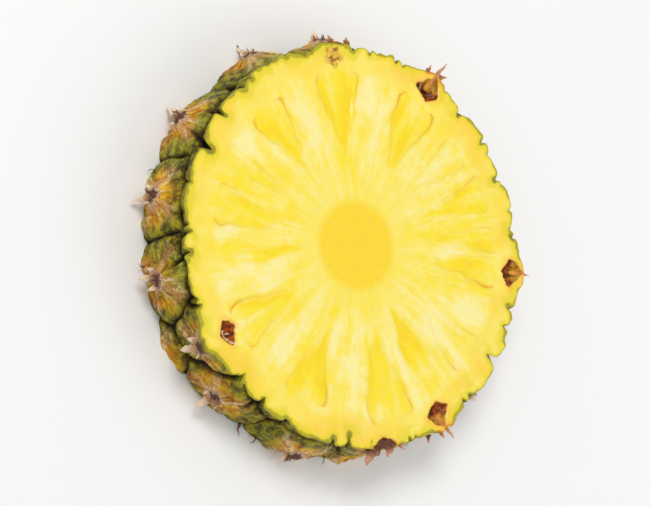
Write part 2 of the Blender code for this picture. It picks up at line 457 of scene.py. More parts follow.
def open_cups(points, face_height):
    """What an opened eye looks like at each point: how far inside its rim it is, how deep, and the
    place outwards and across. The cup is a four-sided funnel. One that lies close to the peel is a
    kite that runs out along a ridge to the bract's point."""
    shape = points.shape[:-1]
    inside, depth = np.full(shape, -5.0), np.zeros(shape)
    outwards, sideways = np.zeros(shape), np.full(shape, 3.0)
    strength, kites = np.zeros(shape), np.zeros(shape)
    for centre, height, eye_depth in fruitlets:
        share = np.sqrt(max(0.0, 1 - ((height - face_height) / CUP_HEIGHT) ** 2))
        if share < LEAST_CUP:
            continue
        kite = eye_depth < KITE_DEPTH
        outer_length = CUP_LENGTH * (1.5 if kite else 0.9)
        inner_length = CUP_LENGTH * (0.72 if kite else 0.9)
        out, across = along_and_across(points, centre)
        out = out - (groove_radius(face_height) - eye_depth)
        out = out / np.where(out > 0, outer_length, inner_length)
        across = across / CUP_WIDTH + 0.12 * np.sin(3 * out + 2 * centre)
        ragged = 0.26 * (mottle(points + 210, 1.5) - 0.5)
        level_in = share + ragged - (np.abs(out) ** 1.1 + np.abs(across) ** 1.1) ** (1 / 1.1)
        distance = level_in * CUP_SLOPE
        wins = distance > inside
        ridge = (0.5 if kite else 0.35) * np.exp(-((across / 0.11) ** 2)) * smooth(0.1, 0.45, out)
        funnel = CUP_DEPTH * share * np.clip(level_in / share, 0, 1) ** 0.8 * (1 - ridge)
        inside = np.where(wins, distance, inside)
        depth = np.maximum(depth, funnel)
        outwards = np.where(wins, out, outwards)
        sideways = np.where(wins, np.where(kite | (distance > 0), across, 3.0), sideways)
        strength = np.where(wins, smooth(0.45, 0.9, share), strength)
        kites = np.where(wins, 1.0 * kite, kites)
    return {
        "cup": inside,
        "cup_depth": depth,
        "cup_out": outwards,
        "cup_across": sideways,
        "cup_share": strength,
        "cup_kite": kites,
    }


# ---------------------------------------------------------------- the slice
# One piece of fruit: a flat wet cut face above and below, and the peel round the edge. It is a
# single closed skin of rings, from the middle of one face over the peel to the middle of the other.

AROUND = 820  # points on one ring
angles = np.arange(AROUND) * TURN / AROUND
FACE_STEPS = np.concatenate([
    np.linspace(0.03, 0.20, 5),
    np.linspace(0.225, 0.84, 31),
    np.linspace(0.855, 0.985, 12),
])
LOWER_STEPS = np.concatenate([
    np.linspace(0.04, 0.20, 4),
    np.linspace(0.24, 0.84, 17),
    np.linspace(0.87, 0.98, 5),
])
SIDE_LEVELS = np.linspace(THICKNESS - 0.45, 0.45, 38)
CUT_BEVEL = ((0.55, 0.0), (0.16, 0.05), (0.03, 0.2))  # in from the peel, down from the face
CHAMBER_DIP, WALL_DIP, FIBRE_DIP, LUMP_DIP, STAR_DIP = 0.45, 0.05, 0.08, 0.30, 0.5


def face_rings(steps, outline):
    """Ring radii of a cut face: circles near the core that take on the outline towards the edge."""
    spread = smooth(0.78, 1.0, steps)[:, None]
    return steps[:, None] * FACE_RADIUS + (outline - FACE_RADIUS) * spread


def face_part(face_height, inwards, steps, chambers, patches):
    """Points and marks of one cut face, from the middle outwards. The face is flat but for shallow
    dips at the chambers, fibres drawn along the radius, broad soft lumps and the opened eyes."""
    edge = peel(angles, np.full(AROUND, face_height))
    outline = edge["radius"]
    radii = face_rings(steps, outline)
    radii = np.concatenate([radii, [outline - CUT_BEVEL[0][0]], [outline - CUT_BEVEL[1][0]]])
    points = on_fruit(angles[None], radii, face_height)
    border = on_fruit(angles, outline, face_height)
    from_edge = np.empty(radii.shape)
    nearest = np.empty(radii.shape, int)
    for ring, row in enumerate(points):
        gaps = np.linalg.norm(row[:, None, :2] - border[None, :, :2], axis=2)
        from_edge[ring], nearest[ring] = gaps.min(1), gaps.argmin(1)
    inside, wall, depth = chamber_marks(points, chambers)
    cups = open_cups(points, face_height)
    radius = np.hypot(points[..., 0], points[..., 1])
    swirl = on_fruit(angles[None], 70.0, 0.12 * radius)
    fibres = (mottle(swirl, 1.6) - 0.5) * smooth(CORE_RADIUS, 20, radius) * smooth(0.3, 3, from_edge)
    star = star_mark(points) * (face_height > 0)
    sunk = CHAMBER_DIP * smooth(-0.2, 1.2, inside) * depth + FIBRE_DIP * fibres
    sunk = sunk + WALL_DIP * wall * np.exp(-((inside / 0.4) ** 2))
    sunk = sunk + LUMP_DIP * (mottle(points + 60, 5.0) - 0.3) * smooth(0, 4, from_edge)
    sunk = np.maximum(sunk, 0) + cups["cup_depth"] + STAR_DIP * star
    sunk[-1] += CUT_BEVEL[1][1]
    points[..., 2] += inwards * sunk
    marks = {
        "chamber": inside,
        "wall": wall,
        "depth": depth,
        "pale": pale_marks(points, patches),
        "star": star,
        "from_edge": from_edge,
        **cups,
        "groove": edge["groove"][nearest],
        "cone": edge["cone"][nearest],
    }
    return points, marks


def side_part():
    """Points and marks of the peel, from the upper cut down to the lower one."""
    levels = np.concatenate([[THICKNESS - CUT_BEVEL[2][1]], SIDE_LEVELS, [CUT_BEVEL[2][1]]])[:, None]
    skin = peel(angles[None], levels)
    radius = skin["radius"].copy()
    radius[0] -= CUT_BEVEL[2][0]
    radius[-1] -= CUT_BEVEL[2][0]
    points = on_fruit(angles[None], radius, levels)
    from_above = open_cups(points, THICKNESS)["cup_depth"]
    from_below = open_cups(points, 0.0)["cup_depth"]
    points[..., 2] = np.minimum(points[..., 2], THICKNESS - CUT_BEVEL[2][1] - from_above)
    points[..., 2] = np.maximum(points[..., 2], CUT_BEVEL[2][1] + from_below)
    return points, skin


upper_points, upper_marks = face_part(THICKNESS, -1, FACE_STEPS, UPPER_CHAMBERS, UPPER_PALE)
lower_points, lower_marks = face_part(0.0, 1, LOWER_STEPS, lower_chambers(), lower_pale())
side_points, side_marks = side_part()
lower_points = lower_points[::-1]
lower_marks = {name: values[::-1] for name, values in lower_marks.items()}
rings = np.concatenate([upper_points, side_points, lower_points])


def ring_faces(count):
    """Quads between neighbouring rings, and a fan of triangles at each pole."""
    here = (np.arange(count - 1)[:, None] * AROUND + np.arange(AROUND)[None]).ravel()
    step = np.arange(AROUND)
    after = (np.arange(count - 1)[:, None] * AROUND + (step + 1)[None] % AROUND).ravel()
    quads = np.stack([here, here + AROUND, after + AROUND, after], axis=1)
    top_pole, low_pole = count * AROUND, count * AROUND + 1
    last = (count - 1) * AROUND
    nexts = (step + 1) % AROUND
    top_fan = np.stack([np.full(AROUND, top_pole), step, nexts], axis=1)
    low_fan = np.stack([np.full(AROUND, low_pole), last + nexts, last + step], axis=1)
    return quads, np.concatenate([top_fan, low_fan])


def mesh_from(name, points, quads, triangles=()):
    """A mesh object from points in millimetres, with smooth faces."""
    made = bpy.data.meshes.new(name)
    loops = np.concatenate([np.ravel(quads), np.ravel(triangles)]).astype(np.int32)
    sizes = np.concatenate([np.full(len(quads), 4), np.full(len(triangles), 3)])
    made.vertices.add(len(points))
    made.vertices.foreach_set("co", (np.asarray(points) * 0.001).astype(np.float32).ravel())
    made.loops.add(len(loops))
    made.loops.foreach_set("vertex_index", loops)
    made.polygons.add(len(sizes))
    made.polygons.foreach_set("loop_start", np.concatenate([[0], np.cumsum(sizes)[:-1]]).astype(np.int32))
    made.update(calc_edges=True)
    made.validate()
    made.shade_smooth()
    return link(bpy.data.objects.new(name, made))


def add_mark(piece, name, values):
    """One number at each point of a piece, for its finish."""
    layer = piece.data.attributes.new(name, "FLOAT", "POINT")
    layer.data.foreach_set("value", np.asarray(values, np.float32).ravel())


quads, fans = ring_faces(len(rings))
poles = np.array([[0, 0, THICKNESS], [0, 0, 0.0]])
slice_points = np.concatenate([rings.reshape(-1, 3), poles])
pineapple = mesh_from("fresh_slice", slice_points, quads, fans)

OFF_FACE = {"chamber": -4.0, "cup": -5.0}  # the cut faces' marks that aren't 0 on the peel
for name in upper_marks:
    if name == "cup_depth":
        continue
    on_side = side_marks.get(name, np.full(side_marks["radius"].shape, OFF_FACE.get(name, 0.0)))
    values = np.concatenate([upper_marks[name], on_side, lower_marks[name]]).ravel()
    at_poles = [upper_marks[name][0, 0], lower_marks[name][-1, 0]]
    add_mark(pineapple, name, np.concatenate([values, at_poles]))
for name in ("across", "along", "owner", "tone", "ridge", "crease"):
    values = np.concatenate([
        np.repeat(side_marks[name][:1], len(upper_points), axis=0),
        side_marks[name],
        np.repeat(side_marks[name][-1:], len(lower_points), axis=0),
    ]).ravel()
    add_mark(pineapple, name, np.concatenate([values, [0, 0]]))

# The finish of the flesh: clear yellow with pale fibres that run out from the core, a deeper core,
# thin chamber walls with painted shade beside them, a lime line under the peel and red-brown cups
# with painted light and shade in them.


def srgb(red, green, blue):
    """A colour from 0 to 255 for each channel, as a shader's linear colour."""
    share = np.array([red, green, blue]) / 255
    linear = np.where(share <= 0.04045, share / 12.92, ((share + 0.055) / 1.055) ** 2.4)
    return (*linear.tolist(), 1.0)


class Finish:
    """A procedural material, built up from small named steps."""

    def __init__(self, name):
        self.material = bpy.data.materials.new(name)
        self.material.use_nodes = True
        self.tree = self.material.node_tree
        self.shader = self.tree.nodes["Principled BSDF"]

    def node(self, kind, **settings):
        made = self.tree.nodes.new(kind)
        for name, value in settings.items():
            setattr(made, name, value)
        return made

    def feed(self, socket, value):
        """Joins a socket to another, or sets its value."""
        if isinstance(value, bpy.types.NodeSocket):
            self.tree.links.new(value, socket)
        else:
            socket.default_value = value

    def maths(self, operation, *values):
        made = self.node("ShaderNodeMath", operation=operation)
        for socket, value in zip(made.inputs, values):
            self.feed(socket, value)
        return made.outputs[0]

    def plus(self, first, second):
        return self.maths("ADD", first, second)

    def minus(self, first, second):
        return self.maths("SUBTRACT", first, second)

    def times(self, first, second):
        return self.maths("MULTIPLY", first, second)

    def larger(self, first, second):
        return self.maths("MAXIMUM", first, second)

    def smaller(self, first, second):
        return self.maths("MINIMUM", first, second)

    def size(self, value):
        return self.maths("ABSOLUTE", value)

    def swing(self, noise, reach):
        """A noise's swing about its middle, with the reach from its lowest to its highest."""
        return self.times(self.minus(noise, 0.5), reach)

    def vector(self, operation, *values):
        made = self.node("ShaderNodeVectorMath", operation=operation)
        for socket, value in zip(made.inputs, values):
            self.feed(socket, value)
        return made.outputs["Value" if operation in ("LENGTH", "DOT_PRODUCT") else "Vector"]

    def mark(self, name):
        return self.node("ShaderNodeAttribute", attribute_name=name).outputs["Fac"]

    def ramp(self, value, low, high, bottom=0.0, top=1.0):
        """An S curve from bottom to top as the value goes from low to high."""
        made = self.node("ShaderNodeMapRange", interpolation_type="SMOOTHSTEP")
        ends = {"Value": value, "From Min": low, "From Max": high, "To Min": bottom, "To Max": top}
        for name, number in ends.items():
            self.feed(made.inputs[name], number)
        return made.outputs["Result"]

    def noise(self, vector, scale, detail=2.0, roughness=0.5):
        made = self.node("ShaderNodeTexNoise")
        self.feed(made.inputs["Vector"], vector)
        made.inputs["Scale"].default_value = scale
        made.inputs["Detail"].default_value = detail
        made.inputs["Roughness"].default_value = roughness
        return made.outputs["Fac"]

    def blend(self, share, under, over):
        """The over colour laid on the under colour, by a share from 0 to 1."""
        made = self.node("ShaderNodeMix", data_type="RGBA")
        self.feed(made.inputs[0], share)
        self.feed(made.inputs[6], under)
        self.feed(made.inputs[7], over)
        return made.outputs[2]

    def bump(self, height, strength, distance, normal=None):
        made = self.node("ShaderNodeBump")
        self.feed(made.inputs["Height"], height)
        made.inputs["Strength"].default_value = strength
        made.inputs["Distance"].default_value = distance
        if normal is not None:
            self.feed(made.inputs["Normal"], normal)
        return made.outputs["Normal"]

    def surface(self, inputs):
        """Gives the shader its inputs, by name, and returns the finished material."""
        for name, value in inputs.items():
            self.feed(self.shader.inputs[name], value)
        return self.material

    def place(self):
        """Object coordinates in millimetres."""
        here = self.node("ShaderNodeTexCoord").outputs["Object"]
        return self.scaled(here, 1000.0)

    def scaled(self, vector, factor):
        made = self.node("ShaderNodeVectorMath", operation="SCALE")
        self.feed(made.inputs[0], vector)
        self.feed(made.inputs["Scale"], factor)
        return made.outputs["Vector"]


def yellow_flesh(f, broad, fibre, blotch, uneven):
    """Pale to deep yellow. Every influence is added up to one level and a ramp colours it: the
    chambers are deeper, most of all next to their walls where that is partly painted shade, the pale
    patches paler, and broad, blotchy, fine and fibrous noise vary it."""
    inside = f.mark("chamber")
    pocket = f.times(f.ramp(inside, -0.4, 1.2), f.mark("depth"))
    # Next to a wall the chamber's yellow is deepest: partly the juicier flesh's own colour, partly painted
    # shade that gives the pocket depth.
    pocket = f.times(pocket, f.ramp(inside, 4.0, 1.5, 0.55, 1.15))
    pocket = f.times(pocket, f.ramp(broad, 0.30, 0.62, 0.35, 1.25))
    level = f.plus(0.42, f.times(pocket, 0.66))
    level = f.minus(level, f.times(f.mark("pale"), 0.45))
    level = f.plus(level, f.swing(broad, 1.0))
    level = f.plus(level, f.swing(blotch, 0.9))
    level = f.plus(level, f.times(uneven, 0.7))
    level = f.plus(level, f.swing(fibre, 0.75))
    shades = f.node("ShaderNodeValToRGB")
    stops = (
        (0.0, srgb(255, 239, 158)),
        (0.28, srgb(255, 233, 112)),
        (0.55, srgb(255, 228, 64)),
        (0.85, srgb(255, 226, 4)),
        (1.0, srgb(254, 219, 0)),
    )
    elements = shades.color_ramp.elements
    for number, (where, shade) in enumerate(stops):
        stop = elements[number] if number < 2 else elements.new(where)
        stop.position = where
        stop.color = shade
    f.feed(shades.inputs["Fac"], level)
    return shades.outputs["Color"]


def chamber_walls(f, colour, radius, fibre, uneven):
    """A seed chamber's wall: a thin wavering line that turns orange at its outer end, with darker
    yellow to both sides that is partly the flesh's own colour and partly painted shade."""
    off_wall = f.size(f.plus(f.mark("chamber"), f.times(uneven, 1.1)))
    line = f.times(f.ramp(off_wall, 0.05, 0.50, 1.0, 0.0), f.mark("wall"))
    line = f.times(line, f.ramp(fibre, 0.30, 0.50, 0.3, 1.0))
    # Partly painted shade: a soft band of deeper yellow to both sides of the wall.
    beside = f.times(f.ramp(off_wall, 0.1, 1.5, 1.0, 0.0), f.mark("wall"))
    colour = f.blend(f.smaller(f.times(beside, 0.75), 0.8), colour, srgb(246, 214, 0))
    hue = f.blend(f.ramp(radius, 40.0, 48.0), srgb(224, 192, 0), srgb(232, 142, 0))
    return f.blend(f.smaller(f.times(line, 0.85), 0.9), colour, hue)


def core_flesh(f, colour, flat, radius, fibre, blotch):
    """The pale fibrous ring round the core, and the smooth deeper yellow core."""
    ring = f.blend(f.ramp(fibre, 0.35, 0.65), srgb(255, 228, 84), srgb(255, 233, 112))
    colour = f.blend(f.times(f.ramp(radius, 22.0, 15.0), 0.5), colour, ring)
    core = f.blend(f.ramp(f.noise(flat, 1.1, 2.0, 0.6), 0.4, 0.7), srgb(255, 216, 30), srgb(255, 220, 48))
    border = f.plus(radius, f.swing(blotch, 1.6))
    return f.blend(f.ramp(border, CORE_RADIUS + 1.9, CORE_RADIUS - 1.5), colour, core)


def rim_flesh(f, colour, flat, blotch, small, uneven):
    """Even, warmer flesh towards the peel, then a lime line and the olive cut rind, both orange
    beside a thorn. Also returns the distance from the edge as a share of the rind's thickness."""
    edge = f.mark("from_edge")
    even = f.blend(f.ramp(blotch, 0.4, 0.6), srgb(255, 222, 62), srgb(255, 231, 104))
    colour = f.blend(f.ramp(edge, 8.5, 5.0, 0.0, 0.75), colour, even)
    warm = f.times(f.ramp(edge, 8.0, 1.5), f.ramp(f.noise(flat, 0.055, 1.0), 0.45, 0.66))
    colour = f.blend(f.times(warm, 0.75), colour, srgb(255, 208, 48))
    groove = f.ramp(f.mark("groove"), 0.3, 1.5)
    thorny = f.ramp(f.mark("cone"), 0.45, 0.80)
    rind = f.blend(groove, srgb(176, 172, 6), srgb(138, 136, 4))
    rind = f.blend(f.ramp(small, 0.42, 0.62, 0.0, 0.7), rind, srgb(176, 150, 30))
    rind = f.blend(thorny, rind, srgb(206, 128, 34))
    patchy = f.ramp(f.noise(flat, 0.16, 1.0), 0.42, 0.64)
    thick = f.plus(f.plus(0.65, f.times(groove, 0.1)), f.times(patchy, 1.1))
    thick = f.plus(thick, f.times(uneven, 1.1))
    near = f.maths("DIVIDE", edge, f.larger(thick, 0.3))
    lime = f.blend(thorny, srgb(230, 214, 26), srgb(250, 190, 66))
    colour = f.blend(f.ramp(near, 2.8, 0.8, 0.0, 0.85), colour, lime)
    return f.blend(f.ramp(near, 0.9, 0.45), colour, rind), near


def opened_eyes(f, colour, here, uneven):
    """An opened eye: olive-gold outer walls with painted light on one side, a red-brown pit on the inner
    side that is partly painted shade, painted shade near black at its deepest middle, a tan ridge that
    runs out to the bract's point, and orange flesh round it."""
    cup, out, across = f.mark("cup"), f.mark("cup_out"), f.mark("cup_across")
    kite = f.mark("cup_kite")
    flaky = f.noise(here, 0.8, 3.0, 0.65)
    around = f.times(f.ramp(cup, -2.0, 0.0, 0.0, 0.55), f.mark("cup_share"))
    colour = f.blend(around, colour, srgb(252, 186, 28))
    lining = f.blend(f.ramp(flaky, 0.38, 0.62), srgb(158, 102, 14), srgb(204, 158, 40))
    # Painted light: the walls on the lit side of a cup get a colour of their own, redder in a kite.
    golden = f.blend(f.ramp(flaky, 0.4, 0.6), srgb(150, 100, 14), srgb(202, 156, 50))
    lit_wall = f.blend(kite, srgb(206, 88, 8), golden)
    lining = f.blend(f.ramp(across, -0.15, -0.40), lining, lit_wall)
    # The red-brown pit on the inner side is partly the eye's own colour and partly painted shade.
    pit_and_shade = f.blend(f.ramp(flaky, 0.40, 0.60), srgb(98, 34, 3), srgb(190, 92, 15))
    pit_out = f.plus(f.minus(out, f.times(kite, 0.12)), f.swing(flaky, 0.5))
    lining = f.blend(f.ramp(pit_out, 0.28, 0.06), lining, pit_and_shade)
    # Painted shade: the cup's deepest middle turns near black.
    lining = f.blend(f.ramp(cup, 1.9, 2.8), lining, srgb(66, 20, 2))
    crest = f.times(f.ramp(f.size(across), 0.15, 0.05), f.ramp(out, 0.15, 0.40))
    lining = f.blend(crest, lining, srgb(204, 122, 44))
    run_out = f.times(f.times(crest, f.ramp(cup, -5.0, -4.2)), 0.8)
    colour = f.blend(run_out, colour, srgb(214, 126, 40))
    return f.blend(f.ramp(f.plus(cup, f.times(uneven, 0.6)), -0.10, 0.20), colour, lining)


def grazed_flower(f, colour, here):
    """The base of a flower that the cut just grazes: an ochre star with brown and cream specks."""
    star, speckle = f.mark("star"), f.noise(here, 0.95, 2.0, 0.6)
    in_star = f.ramp(star, 0.15, 0.55)
    colour = f.blend(f.times(f.ramp(star, 0.05, 0.6), 0.85), colour, srgb(226, 172, 14))
    colour = f.blend(f.times(in_star, f.ramp(speckle, 0.47, 0.55, 0.0, 0.9)), colour, srgb(122, 74, 14))
    return f.blend(f.times(in_star, f.ramp(speckle, 0.40, 0.34, 0.0, 0.5)), colour, srgb(246, 224, 150))


def flesh_finish():
    """Moist flesh on both cut faces."""
    f = Finish("pineapple_flesh")
    here = f.place()
    flat = f.vector("MULTIPLY", here, (1.0, 1.0, 0.0))
    radius = f.vector("LENGTH", flat)
    outwards = f.vector("NORMALIZE", flat)

    def streaks(across, along, detail):
        """Noise drawn out along the radius: how fine it is across it and along it."""
        lift = f.node("ShaderNodeCombineXYZ")
        f.feed(lift.inputs["Z"], f.times(radius, along))
        return f.noise(f.vector("ADD", f.scaled(outwards, across), lift.outputs[0]), 1.0, detail, 0.55)

    broad, fibre = streaks(9.0, 0.06, 2.0), streaks(30.0, 0.08, 3.0)
    blotch, small = f.noise(flat, 0.10, 2.0, 0.5), f.noise(flat, 0.35, 3.0, 0.55)
    uneven = f.minus(small, 0.5)
    colour = yellow_flesh(f, broad, fibre, blotch, uneven)
    colour = chamber_walls(f, colour, radius, fibre, uneven)
    colour = core_flesh(f, colour, flat, radius, fibre, blotch)
    colour, near = rim_flesh(f, colour, flat, blotch, small, uneven)
    colour = opened_eyes(f, colour, here, uneven)
    colour = grazed_flower(f, colour, here)

    cup = f.mark("cup")
    dry = f.larger(f.ramp(cup, -0.1, 0.2, 0.0, 0.35), f.ramp(near, 1.4, 0.5, 0.0, 0.3))
    wet = f.smaller(f.ramp(cup, -0.2, 0.2, 0.30, 0.0), f.ramp(near, 0.8, 2.0, 0.0, 0.30))
    ripple = f.bump(fibre, 0.15, 0.0003)
    ripple = f.bump(f.noise(flat, 0.30, 1.0, 0.4), 0.45, 0.0016, ripple)
    return f.surface({
        "Base Color": colour,
        "Roughness": f.plus(f.ramp(small, 0.3, 0.7, 0.26, 0.42), dry),
        "Coat Weight": wet,
        "Coat Roughness": 0.12,
        "Subsurface Weight": 0.30,
        "Subsurface Radius": (1.0, 0.75, 0.12),
        "Subsurface Scale": 0.0018,
        "Normal": ripple,
    })


def fan_marks(f):
    """How far from the fruitlet's eye each place is, and noise in spokes that fan out from it."""
    fan = f.node("ShaderNodeCombineXYZ")
    f.feed(fan.inputs["X"], f.mark("across"))
    f.feed(fan.inputs["Y"], f.mark("along"))
    away = f.vector("LENGTH", fan.outputs[0])
    way = f.scaled(f.vector("NORMALIZE", fan.outputs[0]), 4.5)
    shift = f.node("ShaderNodeCombineXYZ")
    f.feed(shift.inputs["Z"], f.plus(f.times(away, 0.07), f.times(f.mark("owner"), 7.3)))
    return away, f.noise(f.vector("ADD", way, shift.outputs[0]), 1.0, 3.0, 0.6)


def peel_finish():
    """The peel: each fruitlet goes from a purple-brown eye over golden flanks to olive edges, with
    pinkish-tan ridges, lightened by painted highlight, that run from the eye to its corners, and
    painted shade that darkens the grooves between the scales."""
    f = Finish("pineapple_peel")
    here = f.place()
    away, spokes = fan_marks(f)
    big, mid, fine = f.noise(here, 0.13, 2.0), f.noise(here, 0.42, 3.0, 0.6), f.noise(here, 1.6, 3.0, 0.65)
    grainy = f.times(f.plus(fine, spokes), 0.5)
    tone = f.mark("tone")

    olive = f.blend(f.ramp(mid, 0.36, 0.62), srgb(58, 60, 0), srgb(164, 152, 6))
    grey_green = f.blend(f.ramp(grainy, 0.40, 0.60), srgb(86, 96, 2), srgb(196, 188, 66))
    colour = f.blend(f.times(f.ramp(big, 0.46, 0.62), f.ramp(tone, 0.75, 0.3)), olive, grey_green)
    gold = f.blend(f.ramp(mid, 0.4, 0.65), srgb(216, 138, 0), srgb(255, 200, 26))
    golden = f.times(f.ramp(f.plus(away, f.swing(big, 10.0)), 10.0, 4.0), f.ramp(tone, 0.15, 0.60, 0.3, 1.0))
    colour = f.blend(golden, colour, gold)
    scar = f.times(f.ramp(spokes, 0.46, 0.32), f.ramp(away, 13.0, 4.0))
    colour = f.blend(f.times(scar, 0.75), colour, srgb(84, 42, 10))
    # The pinkish-tan ribs and ridges are partly the bract's own colour and partly painted highlight: their
    # lightest shade is near white.
    pink_and_highlight = f.blend(f.ramp(grainy, 0.42, 0.62), srgb(206, 132, 60), srgb(255, 236, 184))
    rib = f.times(f.ramp(spokes, 0.54, 0.68), f.ramp(away, 10.0, 3.0))
    ridge = f.times(f.mark("ridge"), f.ramp(mid, 0.36, 0.56, 0.3, 1.0))
    colour = f.blend(f.times(f.larger(rib, ridge), 0.9), colour, pink_and_highlight)

    flaky = f.blend(f.ramp(fine, 0.4, 0.6), srgb(176, 128, 100), srgb(232, 200, 170))
    pale_eye = f.ramp(f.plus(away, f.swing(mid, 5.0)), 4.2, 2.4)
    colour = f.blend(f.times(pale_eye, 0.85), colour, flaky)
    dark_eye = f.ramp(f.plus(away, f.swing(fine, 2.4)), 2.6, 1.5)
    colour = f.blend(f.times(dark_eye, 0.9), colour, srgb(84, 44, 38))
    crease = f.mark("crease")
    # Painted shade: the creases between fruitlets and scales, and the grooves from the cut, turn dark brown
    # and then near black.
    shade = f.ramp(crease, 0.04, 0.55)
    colour = f.blend(f.times(shade, 0.75), colour, srgb(56, 38, 6))
    colour = f.blend(f.ramp(crease, 0.50, 0.85), colour, srgb(32, 22, 6))
    speck = f.ramp(f.noise(here, 2.6, 2.0, 0.7), 0.60, 0.70)
    colour = f.blend(f.times(speck, 0.6), colour, srgb(58, 34, 12))

    parts = f.node("ShaderNodeSeparateXYZ")
    f.feed(parts.inputs[0], here)
    below_cut = f.minus(THICKNESS, parts.outputs["Z"])
    cut_rind = f.blend(f.ramp(mid, 0.4, 0.6), srgb(126, 128, 8), srgb(172, 158, 44))
    at_cut = f.times(f.ramp(below_cut, 2.2, 0.5, 0.0, 0.95), f.ramp(mid, 0.35, 0.6, 0.7, 1.0))
    return f.surface({
        "Base Color": f.blend(at_cut, colour, cut_rind),
        "Roughness": f.plus(f.ramp(fine, 0.3, 0.7, 0.38, 0.60), f.times(shade, 0.3)),
        "Coat Weight": f.times(f.minus(1.0, shade), 0.05),
        "Coat Roughness": 0.25,
        "Specular IOR Level": 0.2,
        "Normal": f.bump(fine, 0.7, 0.0008, f.bump(spokes, 0.6, 0.0014)),
    })


pineapple.data.materials.append(flesh_finish())
pineapple.data.materials.append(peel_finish())
first_side_face = len(upper_points) * AROUND
last_side_face = (len(upper_points) + len(side_points) - 1) * AROUND
slot_of_face = np.zeros(len(pineapple.data.polygons), np.int32)
slot_of_face[first_side_face:last_side_face] = 1
pineapple.data.polygons.foreach_set("material_index", slot_of_face)
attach(pineapple, "root")
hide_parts("pineapple_slice")

# ---------------------------------------------------------------- the bracts' points
# Every fruitlet's bract ends in a dry papery point, split into three lobes, that grows out of the
# peel over the eye and lifts off it towards the crown.

LEAF_STEPS, LEAF_AROUND = 18, 16  # points along a leaf and round it


def leaf(root, start, end, length, half_width, seed, twist=0.0, thickness=0.32, cupped=0.35):
    """Rings of points for one dry leaf, from its root's angle, radius and height. Its middle line
    sets off in the start direction and bends to the end direction, each given as (out, across, up).
    It narrows to a point, its edges are ragged, and its cross-section is a thin ellipse that is
    cupped towards the fruit."""
    angle, radius, height = root
    share = np.linspace(0, 1, LEAF_STEPS)[:, None]
    axes = np.array([
        [np.cos(angle), np.sin(angle), 0],
        [-np.sin(angle), np.cos(angle), 0],
        [0, 0, 1],
    ])
    heading = (1 - share) * np.array(start) + share * np.array(end)
    heading = heading / np.linalg.norm(heading, axis=1, keepdims=True) @ axes
    steps = np.concatenate([np.zeros((1, 3)), np.cumsum(heading[:-1], axis=0)])
    middle = axes[0] * radius + axes[2] * height + steps * length / (LEAF_STEPS - 1)
    side = axes[1] * np.cos(twist * share) + axes[2] * np.sin(twist * share)
    side = side - heading * np.sum(side * heading, axis=1, keepdims=True)
    side = side / np.linalg.norm(side, axis=1, keepdims=True)
    over = np.cross(heading, side)
    over = over * np.where(np.sum(over * axes[0], axis=1, keepdims=True) < 0, -1, 1)
    turn = (np.arange(LEAF_AROUND) * TURN / LEAF_AROUND)[None]
    edge = np.where(np.cos(turn) > 0, 0.0, 50.0) + 0 * share
    uneven = mottle(np.stack([share * 6 + 0 * turn, edge, 0 * edge + 3.7 * seed], axis=-1), 1.0) - 0.5
    taper = (1 - share) ** 0.8 * smooth(-0.3, 0.25, share) + 0.015
    wide = half_width * taper * (1 + 1.1 * uneven) * np.cos(turn)
    thick = thickness * (0.3 + 0.7 * (1 - share)) * np.sin(turn)
    thick = thick - cupped * half_width * taper * np.cos(turn) ** 2
    rings = middle[:, None] + side[:, None] * wide[..., None] + over[:, None] * thick[..., None]
    rings[..., 2] = np.clip(rings[..., 2], 0.0, None)
    return rings


def leaves_piece(name, leaves, browns):
    """One mesh of many leaves, each closed at both ends. Its marks are the share along each leaf
    and how brown the leaf is."""
    rings = np.stack(leaves)
    each = LEAF_STEPS * LEAF_AROUND
    around = np.arange(LEAF_AROUND)
    nexts = (around + 1) % LEAF_AROUND
    base = np.arange(LEAF_STEPS - 1)[:, None] * LEAF_AROUND
    corners = [base + around, base + nexts, base + LEAF_AROUND + nexts, base + LEAF_AROUND + around]
    wall = np.stack(corners, axis=-1)
    ends = rings[:, [0, -1]].mean(axis=2)
    root_fan = np.stack([np.full(LEAF_AROUND, each), nexts, around], axis=1)
    last = (LEAF_STEPS - 1) * LEAF_AROUND
    tip_fan = np.stack([np.full(LEAF_AROUND, each + 1), last + around, last + nexts], axis=1)
    shift = (np.arange(len(rings)) * (each + 2))[:, None, None]
    quads = (wall.reshape(-1, 4)[None] + shift).reshape(-1, 4)
    triangles = (np.concatenate([root_fan, tip_fan])[None] + shift).reshape(-1, 3)
    points = np.concatenate([rings.reshape(len(rings), -1, 3), ends], axis=1).reshape(-1, 3)
    made = mesh_from(name, points, quads, triangles)
    share = np.repeat(np.linspace(0, 1, LEAF_STEPS), LEAF_AROUND)
    add_mark(made, "share", np.tile(np.concatenate([share, [0, 1]]), len(rings)))
    add_mark(made, "brown", np.repeat(np.asarray(browns, float), each + 2))
    return made


def skin_radius(angle, height):
    """The peel's radius at one place."""
    return float(peel(np.array([angle]), np.array([height]))["radius"][0])


